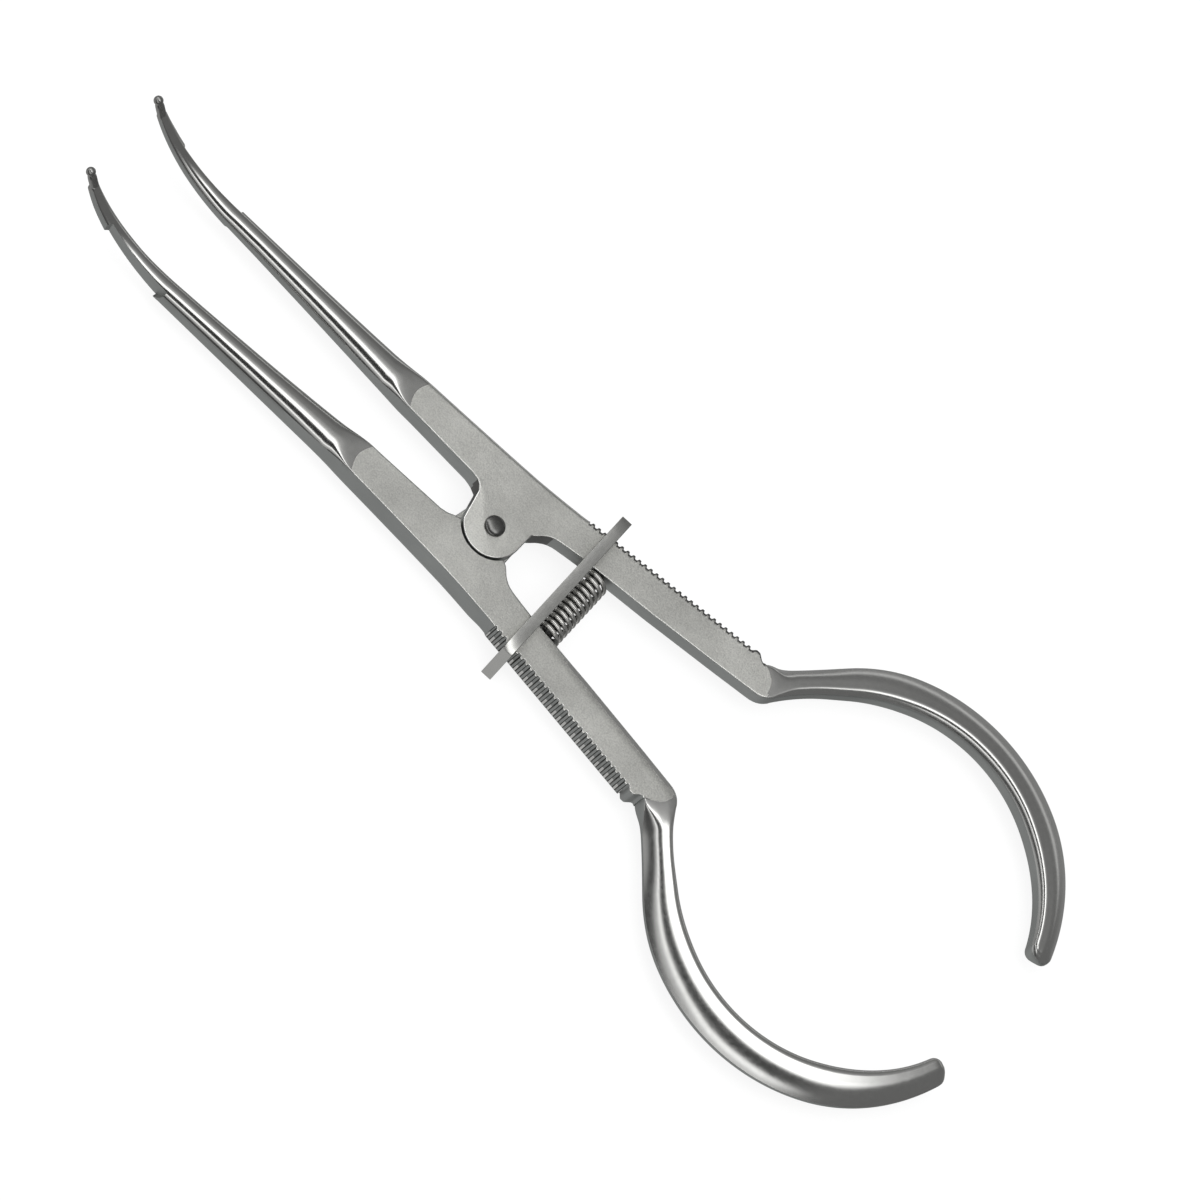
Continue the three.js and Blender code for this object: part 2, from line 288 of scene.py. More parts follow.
def edge_arc(centre_v, centre_z, radius, start, sweep):
    """Points round a section's rounded edge."""
    turns = [start + sweep * i / ARC_STEPS for i in range(ARC_STEPS + 1)]
    return [(centre_v + radius * math.cos(a), centre_z + radius * math.sin(a)) for a in turns]


def flat_top(half, top, edges):
    """Points from the inner edge to the outer edge over a flat face. edges are their two radii."""
    round_in, round_out = edges
    low, high = -half + round_in + SUPPORT, half - round_out - SUPPORT
    points = edge_arc(-half + round_in, top - round_in, round_in, 2 * QUARTER, -QUARTER)
    points += [(lerp(low, high, i / FLAT_STEPS), top) for i in range(FLAT_STEPS + 1)]
    points += edge_arc(half - round_out, top - round_out, round_out, QUARTER, -QUARTER)
    return points


def crown_top(half, crest, crease):
    """Points from the inner crease to the outer crease over an elliptical crown."""
    reach = half / math.sin(CROWN_ANGLE)
    height = (crest - crease) / (1 - math.cos(CROWN_ANGLE))
    turns = [CROWN_ANGLE * (2 * i / TOP_STEPS - 1) for i in range(TOP_STEPS + 1)]
    return [(reach * math.sin(a), crest - height * (1 - math.cos(a))) for a in turns]


def facet_top(half, crest, crease_in, crease_out):
    """The same for a hook: a ridge near the inner edge, one even slope outward, then a round shoulder."""
    ridge, knee = FACET[0] * half, FACET[1] * half
    ridge_steps, slope_steps, shoulder_steps = FACET_STEPS
    points = []
    for i in range(ridge_steps):
        turn = QUARTER * i / ridge_steps
        v = ridge - (ridge + half) * math.cos(turn)
        points.append((v, crease_in + (crest - crease_in) * math.sin(turn)))
    for v in steps_between(ridge, knee, slope_steps):
        points.append((v, crest - FACET_SLOPE * (v - ridge)))
    knee_z = crest - FACET_SLOPE * (knee - ridge)
    reach = half - knee
    bend = (knee_z - FACET_SLOPE * reach - crease_out) / reach**2
    for i in range(shoulder_steps + 1):
        away = reach * i / shoulder_steps
        points.append((knee + away, knee_z - FACET_SLOPE * away - bend * away**2))
    return points


def worn_top(half, top, edges, drop):
    """A flat top that eases down by drop toward its inner edge."""
    points = flat_top(half, top, edges)
    if not drop:
        return points
    return [(v, z - drop * max(0.0, 1 - (v + half) / EASE_WIDTH) ** EASE_POWER) for v, z in points]


def blended(first, second, share):
    """Points on the way from the first list to the second."""
    return [(lerp(a[0], b[0], share), lerp(a[1], b[1], share)) for a, b in zip(first, second)]


def between(start, end, shares):
    """Points at shares of the way from start to end."""
    return [(lerp(start[0], end[0], t), lerp(start[1], end[1], t)) for t in shares]


def section(top, half, low, under):
    """One closed section below its top points. low and under are (inner, outer) heights and edge radii."""
    outer_arc = edge_arc(half - under[1], low[1] + under[1], under[1], 0, -QUARTER)
    inner_arc = edge_arc(-half + under[0], low[0] + under[0], under[0], -QUARTER, -QUARTER)
    points = list(top)
    points += between(top[-1], outer_arc[0], WALL_SHARES)
    points += outer_arc
    points += between(outer_arc[-1], inner_arc[0], UNDER_SHARES)
    points += inner_arc
    points += between(inner_arc[-1], top[0], WALL_SHARES)
    return points


def narrowed(inner, outer, share):
    """The two ends of a section's line, drawn in toward its middle."""
    middle = (inner + outer) / 2
    return lerp(middle, inner, share), lerp(middle, outer, share)


def place_ring(inner, outer, base, up, points):
    """Section points set across the line from the inner rail to the outer rail."""
    middle = (inner + outer) / 2
    across = (outer - inner).normalized()
    ring = []
    for v, z in points:
        x = middle.x + across.x * v + up.x * z
        ring.append((x, middle.y + across.y * v, base + up.z * z))
    return ring


def bow(v, half):
    """How far a bowed line stands out at v across its width: 1 in the middle and 0 at its ends."""
    return math.cos(QUARTER * min(1.0, abs(v) / half))


def bowed(ring, points, half, reach, way):
    """A ring bowed out toward way in its middle. points are its section points."""
    out = [reach * bow(v, half) for v, _ in points]
    return [(p[0] + way.x * b, p[1] + way.y * b, p[2]) for p, b in zip(ring, out)]


# ---- jaws and straight stretches ----
# Depths of the crown's crest and of its two creases under the top face, by X.
ARCH_CREST = [(19.8, 0), (22, -0.03), (24, -0.1), (27, -0.2), (30, -0.32), (35, -0.54), (40, -0.76)]
ARCH_CREST += [(45, -0.97), (50, -1.17), (55, -1.4)]
ARCH_CREASE = [(19.4, -0.2), (20.5, -0.42), (22, -0.7), (24, -0.98), (26, -1.2), (30, -1.46), (35, -1.7)]
ARCH_CREASE += [(40, -1.9), (50, -2.15), (55, -2.25)]
CREASE_SHARE = 0.68  # height of the crease once the bend is under way, as a share of the bar's
CREASE_TURN = 0.35  # share of the bend by which it has come to that height
BEND_UNDER = (0.45, 0.15)  # radii of the underside's inner and outer edges round the bend

NECK_X = 19.67  # where the neck's flat face ends and the jaw's crown starts
NECK_BOW = 0.9
NECK_BOW_IN = (NECK_X - 1.7, NECK_X)  # the rings' bow comes in and goes out between these X
NECK_BOW_OUT = (NECK_X + 1.5, NECK_X + 5.5)
CROWN_RISE = (19.3, 25.0)  # the flat top turns into the crown between these X
UNDER_FALL = (14, 40)  # the underside drops by UNDER_DROP between these X
UNDER_DROP = 0.05
HANDLE_STEP = (-8.5, -5.5)  # the underside comes up to the handle's between these X
EASE_RUN = (10, 22)  # the worn strip comes in between these distances behind the pivot
GROOVE_RUN = (HANDLE_UNDER + 0.1, HANDLE_UNDER + 1.9)  # a groove deepens between these heights


def bend_ring(angle, shrink=1.0, extra=0.0):
    """A section of the jaw round the bend. shrink and extra round off its end."""
    x = BEND_X + BEND_R * math.sin(angle)
    z = BEND_MID + BEND_R * (1 - math.cos(angle))
    up = Vector((-math.sin(angle), 0, math.cos(angle)))
    ahead = Vector((math.cos(angle), 0, math.sin(angle))) * extra
    t = angle / BEND_ANGLE
    thick = lerp(JAW_THICK, JAW_TIP_THICK, t)
    start_crease = ARCH_CREASE[-1][1] + BEND_DROP
    crease = lerp(start_crease, -thick / 2 + CREASE_SHARE * thick, smoothstep(t, 0, CREASE_TURN))
    inner, outer = narrowed(Vector((x, inner_side(x))), Vector((x, outer_side(x))), shrink)
    half = (outer - inner).length / 2
    low = (-thick / 2 + UNDER_CANT * (1 - t), -thick / 2)
    points = section(crown_top(half, thick / 2, crease), half, low, BEND_UNDER)
    ring = place_ring(inner, outer, z, up, [(v, height * shrink) for v, height in points])
    return [(p[0] + ahead.x, p[1], p[2] + ahead.z) for p in ring]


def grooved(v, z, half, depth):
    """How far a groove moves a section point inward: fully at the top, not at all at the underside."""
    return depth * (v + half) / (2 * half) * smoothstep(z, *GROOVE_RUN)


def straight_ring(x, edges, ease):
    """A section square to the X axis, in a jaw, the neck or a handle."""
    inner = Vector((x, inner_side(x)))
    outer = Vector((x, outer_side(x)))
    half = (outer - inner).length / 2
    crown = smoothstep(x, *CROWN_RISE)
    crest = TOP + lerp(0, along(x, ARCH_CREST), crown)
    dome = crown_top(half, crest, TOP + along(x, ARCH_CREASE))
    flat = worn_top(half, crest, edges, ease * smoothstep(-x, *EASE_RUN))
    under = -UNDER_DROP * smoothstep(x, *UNDER_FALL)
    low = lerp(under, HANDLE_UNDER, 1 - smoothstep(x, *HANDLE_STEP))
    points = section(blended(flat, dome, crown), half, (low + UNDER_CANT, low), ARM_UNDER)
    depth = groove_depth(x)
    if depth:
        points = [(v - grooved(v, z, half, depth), z) for v, z in points]
    ring = place_ring(inner, outer, 0, UP, points)
    fade = smoothstep(x, *NECK_BOW_IN) * (1 - smoothstep(x, *NECK_BOW_OUT))
    return bowed(ring, points, half, NECK_BOW * fade, Vector((1, 0)))


# ---- finger hook and heel ----
HOOK_SWELL = (4, 24)  # the hook grows full, and slims again, between these distances along it
HOOK_FADE = (49.5, 72.5)
HOOK_CREASES = (0.36, 0.6)  # depth of the top's inner and outer edges, as shares of the hook's depth
HOOK_UNDER_R = 1.1
HOOK_CENTRE = 0.45  # height that the hook's end closes in on, as a share of its depth

HEEL_S = 0.31  # where the inner end of the heel line lies along the hook
HEEL_SKEW = 0.71
HEEL_REACH = (3.19, 2.11)  # inner and outer offsets of the heel line
HEEL_FADE = 4.5  # the heel's outer offset has faded by this distance along the hook
HEEL_BLEND = 6.0  # the flat top and the bow have faded by this distance
ROOT_END = 11.0  # the inner edge's flare ends here
HEEL_LINE = HEEL_OUTER - HEEL_INNER
HEEL_AHEAD = Vector((-HEEL_LINE.y, HEEL_LINE.x)).normalized()
HEEL_BOW = 0.9  # how far the flat face's end bows out over the hook's root
HEEL_BOW_FROM = 0.5  # share of the way from the last tooth to the heel at which the bow starts
HEEL_ROUND = 1.7  # how far from the heel's inner corner its rounding starts
# Offset of the outer edge from the crest line, by the share of the way from the last tooth to the heel.
HEEL_BUMP = [(0, -0.36), (0.26, 0.16), (0.4, 0.12), (0.86, -0.86), (1, -0.75)]


def hook_point(s, offset):
    """A point s mm along the hook's centreline, offset outward from it."""
    turn = HOOK_LEAN + max(0.0, s - HOOK_STRAIGHT) / HOOK_R
    lean = Vector((math.cos(HOOK_LEAN), math.sin(HOOK_LEAN)))
    ahead = Vector((-lean.y, lean.x))
    normal = Vector((math.cos(turn), math.sin(turn)))
    point = HOOK_START + ahead * min(s, HOOK_STRAIGHT)
    return point - lean * HOOK_R + normal * (HOOK_R + offset)


def hook_half(s):
    """Half the hook's width, s mm along its centreline."""
    swell = smoothstep(s, *HOOK_SWELL)
    fade = smoothstep(s, *HOOK_FADE)
    return (HOOK_SLIM + (HOOK_FULL - HOOK_SLIM) * swell - (HOOK_FULL - HOOK_END) * fade) / 2


def round_heel(point, way):
    """A point of the inner rail, rounded off at the heel. way is -1 on the handle and 1 on the hook."""
    away = (point - HEEL_INNER).length
    if away >= HEEL_ROUND:
        return point
    before = (Vector((LAST_GROOVE, inner_side(LAST_GROOVE))) - HEEL_INNER).normalized()
    after = (hook_point(ROOT_END / 2, -hook_half(ROOT_END)) - HEEL_INNER).normalized()
    t = 0.5 + way * 0.5 * away / HEEL_ROUND
    return HEEL_INNER + HEEL_ROUND * ((1 - t) ** 2 * before + t**2 * after)


def heel_ring(t, edges, ease):
    """A section fanned between the last tooth and the heel, whose line is skewed to the X axis."""
    last = Vector((LAST_GROOVE, inner_side(LAST_GROOVE)))
    inner = round_heel(last.lerp(HEEL_INNER, t), -1)
    x = lerp(LAST_GROOVE, HEEL_OUTER.x, t)
    outer = Vector((x, crest_side(x) + along(t, HEEL_BUMP, smooth=True)))
    half = (outer - inner).length / 2
    top = worn_top(half, TOP, edges, ease)
    points = section(top, half, (HANDLE_UNDER + UNDER_CANT, HANDLE_UNDER), ARM_UNDER)
    ring = place_ring(inner, outer, 0, UP, points)
    return bowed(ring, points, half, HEEL_BOW * smoothstep(t, HEEL_BOW_FROM, 1), HEEL_AHEAD)


def hook_ring(s, edges, ease, shrink=1.0):
    """A section of the hook, s mm along its centreline. shrink rounds off its end."""
    root = 1 - smoothstep(s, HEEL_S, HEEL_FADE)
    flare = max(0.0, 1 - (s - HEEL_S) / (ROOT_END - HEEL_S)) ** 2
    inner_half = hook_half(s) + (HEEL_REACH[0] - hook_half(HEEL_S)) * flare
    outer_half = lerp(hook_half(s), HEEL_REACH[1], root)
    inner = round_heel(hook_point(s, -inner_half), 1)
    outer = hook_point(s + HEEL_SKEW * root, outer_half)
    inner, outer = narrowed(inner, outer, shrink)
    half = (outer - inner).length / 2
    crown = smoothstep(s, HEEL_S, HEEL_BLEND)
    depth = TOP - HANDLE_UNDER
    dome = facet_top(half, TOP, TOP - HOOK_CREASES[0] * depth, TOP - HOOK_CREASES[1] * depth)
    top = blended(worn_top(half, TOP, edges, ease), dome, crown)
    low = (HANDLE_UNDER + UNDER_CANT * (1 - crown), HANDLE_UNDER)
    under = [lerp(radius, HOOK_UNDER_R, crown) * shrink for radius in ARM_UNDER]
    centre = HANDLE_UNDER + HOOK_CENTRE * depth
    points = [(v, centre + (z - centre) * shrink) for v, z in section(top, half, low, under)]
    ring = place_ring(inner, outer, 0, UP, points)
    return bowed(ring, points, half, HEEL_BOW * (1 - crown), HEEL_AHEAD)


# ---- arms ----
JAW_CAP = [(0.5, 0.5), (0.78, 0.36), (0.94, 0.15)]  # (share of the size, distance past the end) of its rings
BEND_STEPS = 44
RINGS_PER_TOOTH = 12
# Each span is (start, end, steps), by X for the straight stretches and by distance along the hook.
STRAIGHT_SPANS = [(BEND_X, 26, 40), (26, 18, 48), (18, -9, 60), (-9, FIRST_GROOVE, 3)]
STRAIGHT_SPANS += [(FIRST_GROOVE, LAST_GROOVE, RINGS_PER_TOOTH * TOOTH_COUNT)]
HEEL_STEPS = 26
HOOK_SPANS = [(HEEL_S, ROOT_END, 40), (ROOT_END, HOOK_LENGTH, 110)]
HOOK_CAP = HOOK_END * 0.42  # how far the hook's rounded end reaches
HOOK_CAP_STEPS = 7


def arm_rings(edges, ease):
    """Every section of an arm, from the tip of its jaw to the end of its hook."""
    rings = [bend_ring(BEND_ANGLE, shrink, extra) for shrink, extra in JAW_CAP]
    rings += [bend_ring(angle) for angle in steps_between(BEND_ANGLE, 0, BEND_STEPS)]
    for start, end, steps in STRAIGHT_SPANS:
        rings += [straight_ring(x, edges, ease) for x in steps_between(start, end, steps)]
    rings += [heel_ring(t, edges, ease) for t in steps_between(0, 1, HEEL_STEPS)]
    for start, end, steps in HOOK_SPANS:
        rings += [hook_ring(s, edges, ease) for s in steps_between(start, end, steps)]
    for turn in steps_between(0, QUARTER, HOOK_CAP_STEPS):
        rings.append(hook_ring(HOOK_LENGTH + HOOK_CAP * math.sin(turn), edges, ease, math.cos(turn)))
    return rings


# ---- joint lug ----
LUG_FRONT = -0.529  # angle at which the lug's round rim starts
LUG_STEPS = 60
FILLET_STEPS = 12
LUG_EDGE = 0.15  # radius of its free upper edge
LUG_EDGE_STEPS = 4
LUG_IN_ARM = 7.5  # how far from the X axis the lug's solid reaches inside the arm
MITRE_LIMIT = 0.5  # keeps a sharp corner from moving too far inward
CUT_PAST = 3.0  # how far a cutting post reaches past the arm's faces
POST_SIDES = 96


def quadratic(a, b, c):
    """Points after a on the curve that leaves a toward b and ends at c."""
    points = []
    for i in range(1, FILLET_STEPS + 1):
        t = i / FILLET_STEPS
        points.append(tuple((1 - t) ** 2 * a[k] + 2 * t * (1 - t) * b[k] + t * t * c[k] for k in (0, 1)))
    return points


def lug_outline():
    """The lug from above: front fillet, round rim, rear fillet, and its root inside the arm."""
    points = [(6.8, 3.64)]
    points += quadratic(points[-1], (5.35, 3.3), (4.9, 2.1))
    points.append((4.43, -0.1))
    for i in range(LUG_STEPS + 1):
        a = lerp(LUG_FRONT, -math.pi, i / LUG_STEPS)
        points.append((LUG_R * math.cos(a), LUG_R * math.sin(a)))
    points.append((-4.65, 2.7))
    points += quadratic(points[-1], (-4.9, 4.6), (-7.2, 5.05))
    points += [(-7.2, LUG_IN_ARM), (6.8, LUG_IN_ARM)]
    return points


def shrunk(outline, distance):
    """The outline moved inward by distance."""
    count = len(outline)
    moved = []
    for i in range(count):
        before, here, after = (Vector(outline[k % count]) for k in (i - 1, i, i + 1))
        first = (here - before).normalized()
        second = (after - here).normalized()
        bisector = Vector((first.y + second.y, -first.x - second.x)).normalized()
        turn = max(MITRE_LIMIT, bisector.dot(Vector((first.y, -first.x))))
        moved.append(tuple(here + bisector * distance / turn))
    return moved


def lug_tool(low, high, mirror):
    """The lug's solid, with its free upper edge rounded."""
    outline = lug_outline()
    levels = [(0, low)]
    for i in range(LUG_EDGE_STEPS + 1):
        turn = QUARTER * i / LUG_EDGE_STEPS
        levels.append((LUG_EDGE * (1 - math.cos(turn)), high - LUG_EDGE + LUG_EDGE * math.sin(turn)))
    rings = []
    for inset, z in levels:
        ring = shrunk(outline, inset) if inset else outline
        rings.append([(x, y, z) for x, y in ring])
    return loft("lug", rings, mirror)


def post_tool(radius, mirror):
    """A post on the pivot axis that cuts right through the arm."""
    outline = circle(radius, POST_SIDES)
    rings = [[(x, y, z) for x, y in outline] for z in (-CUT_PAST, TOP + CUT_PAST)]
    return loft("post", rings, mirror)


# ---- jaw step, pegs and sockets ----
STEP_FACE = [(53, 8.5), (57, 8.42), (60, 8.35), (64, 8.24), (66.9, 8.1)]  # its side, by X
STEP_START = (54.9, TOP + 0.4)
STEP_CENTRE = (57.2, TOP - 1.9)  # centre and radii of its quarter-round front end
STEP_RADII = (2.3, 3.0)
STEP_REAR = [(66.3, -0.9), (67.0, TOP + 2.4), (64.0, TOP + 2.4)]
STEP_STEPS = 10
STEP_REACH = 2.0  # how far the cut reaches outward
STEP_SPLAY = 1.6  # how far the step's rear end slants toward the tip over that reach
STEP_SPLAY_X = 60  # the points past here slant

PEG_STEM = 0.94  # radius of a peg's stem, as a share of its ball's
PEG_NECK = 0.97  # radius of its neck, as a share of its stem's
PEG_NECK_DEPTHS = (1.2, 0.9)  # where the stem narrows to the neck, below the ball's centre
PEG_BALL_START = -math.pi / 4
PEG_STEPS = 12
TURNED_SIDES = 32


def step_tool(mirror):
    """Cuts the long shallow step on the outer face round the bend."""
    outline = [STEP_START]
    for i in range(STEP_STEPS + 1):
        turn = QUARTER * i / STEP_STEPS
        x = STEP_CENTRE[0] - STEP_RADII[0] * math.cos(turn)
        outline.append((x, STEP_CENTRE[1] - STEP_RADII[1] * math.sin(turn)))
    outline += STEP_REAR
    rings = []
    for share in (0, 1):
        ring = []
        for x, z in outline:
            splay = STEP_SPLAY * share if x > STEP_SPLAY_X else 0
            ring.append((x + splay, along(x, STEP_FACE) + STEP_REACH * share, z))
        rings.append(ring)
    return loft("step", rings, mirror)


def peg_tool(mirror):
    """The peg at the jaw's tip: a stem sunk in the jaw, a slight neck and a ball."""
    stem = PEG_R * PEG_STEM
    ball = PEG_LENGTH - PEG_R
    profile = [(stem, -PEG_SINK), (stem, ball - PEG_NECK_DEPTHS[0])]
    profile.append((stem * PEG_NECK, ball - PEG_NECK_DEPTHS[1]))
    for turn in steps_between(PEG_BALL_START, QUARTER, PEG_STEPS):
        profile.append((PEG_R * math.cos(turn), ball + PEG_R * math.sin(turn)))
    root_x = BEND_X + BEND_R * math.sin(BEND_ANGLE)
    root_z = BEND_MID + BEND_R * (1 - math.cos(BEND_ANGLE))
    root = Vector((root_x, -PEG_SIDE if mirror else PEG_SIDE, root_z))
    ahead = Vector((math.cos(PEG_LEAN), 0, math.sin(PEG_LEAN)))
    up = Vector((-math.sin(PEG_LEAN), 0, math.cos(PEG_LEAN)))

    def place(x, y, height):
        return tuple(root + ahead * height + up * x + Vector((0, y, 0)))

    return lathe("peg", profile, place, TURNED_SIDES)


def on_spring_axis(hand):
    """A lathe's place() on the spring's axis. hand is 1 toward the left arm and -1 toward the right."""

    def place(x, y, height):
        return (SPRING_X + x, hand * height, SPRING_Z + y)

    return place


def socket_tool(mirror):
    """Cuts the hole for the spring's peg in the handle's inner face."""
    low, high = PEG_STUD_ENDS
    radius = PEG_STUD_R + SOCKET_GAP
    profile = [(radius, low), (radius, high + SOCKET_GAP)]
    return lathe("socket", profile, on_spring_axis(-1 if mirror else 1), TURNED_SIDES)


def make_arm(name, mirror, edges, ease):
    """One arm. edges are the radii of its top's inner and outer edges, and ease the depth of its wear."""
    body = loft(name, arm_rings(edges, ease), mirror)
    recalculate(body)
    lug_low, lug_high = (LAP + LAP_GAP, TOP) if mirror else (0.0, LAP - LAP_GAP)
    boolean(body, step_tool(mirror), "DIFFERENCE")
    boolean(body, post_tool(RECESS_R, mirror), "DIFFERENCE")
    boolean(body, lug_tool(lug_low, lug_high, mirror), "UNION")
    boolean(body, post_tool(RIVET_HOLE_R, mirror), "DIFFERENCE")
    boolean(body, socket_tool(mirror), "DIFFERENCE")
    boolean(body, peg_tool(mirror), "UNION")
    recalculate(body)
    return body


# ---- node helpers ----
def noise(nodes, links, vector, scale, detail):
    node = nodes.new("ShaderNodeTexNoise")
    node.inputs["Scale"].default_value = scale
    node.inputs["Detail"].default_value = detail
    links.new(vector, node.inputs["Vector"])
    return node.outputs["Fac"]


def map_range(nodes, links, value, span, onto=(0.0, 1.0), kind="LINEAR"):
    node = nodes.new("ShaderNodeMapRange")
    node.interpolation_type = kind
    for socket, number in zip(("From Min", "From Max", "To Min", "To Max"), span + onto):
        node.inputs[socket].default_value = number
    links.new(value, node.inputs["Value"])
    return node.outputs["Result"]


def math_node(nodes, links, operation, first, second):
    node = nodes.new("ShaderNodeMath")
    node.operation = operation
    for socket, value in zip(node.inputs, (first, second)):
        if isinstance(value, (int, float)):
            socket.default_value = value
        else:
            links.new(value, socket)
    return node.outputs["Value"]


# ---- finishes and painted shade ----
FINE_DETAIL = 6
CLOUD_SCALE = 110
CLOUD_DETAIL = 3
GRAIN_SPAN = (0.3, 0.7)  # the grain's values that stand for the least and the most roughness
TINT_SPAN = (0.35, 0.65)  # the mixed noise's values that stand for the darkest and the lightest colour
GRAIN_DEPTH = 0.02  # millimetres


def wandering_colour(nodes, links, fine, broad, base, vary):
    """The base colour, darker and lighter by the share vary as the grain and the clouds go."""
    mixed = math_node(nodes, links, "MULTIPLY", math_node(nodes, links, "ADD", fine, broad), 0.5)
    ramp = nodes.new("ShaderNodeValToRGB")
    for element, position, sign in zip(ramp.color_ramp.elements, TINT_SPAN, (-1, 1)):
        element.position = position
        element.color = (*[min(1, c * (1 + sign * vary)) for c in base], 1)
    links.new(mixed, ramp.inputs["Fac"])
    return ramp.outputs["Color"]


def relief(nodes, links, fine, broad, bump, wave):
    """The grain's relief, on top of a broad unevenness if there is a wave."""
    grain = nodes.new("ShaderNodeBump")
    grain.inputs["Strength"].default_value = bump
    grain.inputs["Distance"].default_value = GRAIN_DEPTH * MM
    links.new(fine, grain.inputs["Height"])
    if wave:
        swell = nodes.new("ShaderNodeBump")
        swell.inputs["Distance"].default_value = wave * MM
        links.new(broad, swell.inputs["Height"])
        links.new(swell.outputs["Normal"], grain.inputs["Normal"])
    return grain.outputs["Normal"]


def steel(name, base, rough, grain, bump, wave=0.0, vary=0.06, streak=(1, 1, 1)):
    """Steel whose colour and roughness wander with fine grain and broad clouds.

    rough is (least, most). grain is the scale of the grain's noise and bump the strength of its relief.
    wave is the height in millimetres of the broad unevenness that hand polishing leaves. streak
    stretches the grain.
    """
    material = bpy.data.materials.new(name)
    material.use_nodes = True
    nodes, links = material.node_tree.nodes, material.node_tree.links
    shader = nodes["Principled BSDF"]
    shader.inputs["Metallic"].default_value = 1.0
    coords = nodes.new("ShaderNodeTexCoord")
    stretch = nodes.new("ShaderNodeMapping")
    stretch.inputs["Scale"].default_value = streak
    links.new(coords.outputs["Object"], stretch.inputs["Vector"])
    fine = noise(nodes, links, stretch.outputs["Vector"], grain, FINE_DETAIL)
    broad = noise(nodes, links, coords.outputs["Object"], CLOUD_SCALE, CLOUD_DETAIL)
    links.new(map_range(nodes, links, fine, GRAIN_SPAN, rough), shader.inputs["Roughness"])
    links.new(wandering_colour(nodes, links, fine, broad, base, vary), shader.inputs["Base Color"])
    links.new(relief(nodes, links, fine, broad, bump, wave), shader.inputs["Normal"])
    return material


SATIN = steel("arm_satin", (0.69, 0.69, 0.655), (0.32, 0.5), 4600, 0.9, vary=0.2)
# arm_side_shade: a rougher copy of the arm steel, coloured darker as painted shade on the walls and
# undersides
SIDE_SHADE = steel("arm_side_shade", (0.42, 0.435, 0.425), (0.42, 0.55), 4200, 0.5, vary=0.1)
POLISH = steel("arm_polish", (0.55, 0.55, 0.535), (0.12, 0.17), 1500, 0.03, wave=0.05, vary=0.03)
HOOK = steel("hook_polish", (0.62, 0.62, 0.605), (0.18, 0.23), 1500, 0.03, wave=0.05, vary=0.03)
EDGE = steel("arm_edge", (0.74, 0.74, 0.72), (0.16, 0.24), 1500, 0.05)
# arm_groove_shade: near-black steel, painted shade on the tooth flanks, on the walls beside the lug and
# along the right arm's toothed top edge
GROOVE_SHADE = steel("arm_groove_shade", (0.15, 0.15, 0.145), (0.4, 0.55), 4200, 0.4, vary=0.15)
RIVET = steel("rivet_polish", (0.17, 0.17, 0.165), (0.2, 0.3), 2500, 0.1)
WIRE = steel("spring_wire", (0.7, 0.695, 0.67), (0.22, 0.28), 2600, 0.0, vary=0.03)
# spring_wire_shade: the wire's steel coloured near-black, painted shade on the inner side of the coil that
# shows between the turns
WIRE_SHADE = steel("spring_wire_shade", (0.09, 0.09, 0.085), (0.45, 0.55), 2600, 0.0, vary=0.03)
STUD = steel("peg_turned", (0.15, 0.15, 0.145), (0.25, 0.4), 2600, 0.1)
RING_STREAK = (1, 0.3, 1)
RING = steel("ring_satin", (0.55, 0.55, 0.53), (0.2, 0.27), 3200, 0.08, 0.1, 0.05, RING_STREAK)
PEG = steel("peg_matte", (0.36, 0.36, 0.35), (0.26, 0.32), 3200, 0.05, vary=0.04)
ARM_FINISHES_AND_SHADES = [SATIN, SIDE_SHADE, POLISH, EDGE, GROOVE_SHADE, PEG, HOOK]

# Limits on the upward and lengthwise parts of a face's normal, which tell the faces apart: faces turned away
# from up get painted shade.
HOOK_UPWARD = 0.3
JAW_UPWARD = 0.25
FLAT_UPWARD = 0.985
WALL_UPWARD = 0.2
FLANK_LENGTHWISE = 0.42
DULL_X = 72.1  # the jaws end in matte pegs past here
FORK_X = (4.3, 7.3)  # the walls beside the lug turn in between these distances, out to FORK_SIDE
FORK_SIDE = 5.1
INNER_STRIP = 1.0  # an edge this near the inner rail isn't a tooth's


def on_hook(point):
    """Whether a point lies past the bowed line at the heel."""
    offset = Vector((point[0], abs(point[1]))) - (HEEL_INNER + HEEL_OUTER) / 2
    across = offset.dot(HEEL_LINE.normalized())
    return offset.dot(HEEL_AHEAD) > HEEL_BOW * bow(across, HEEL_LINE.length / 2)


def on_jaw(x, side):
    """Whether a point lies past the bowed line at the neck."""
    half = (outer_side(x) - inner_side(x)) / 2
    return x > NECK_X + NECK_BOW * bow(side - inner_side(x) - half, half)


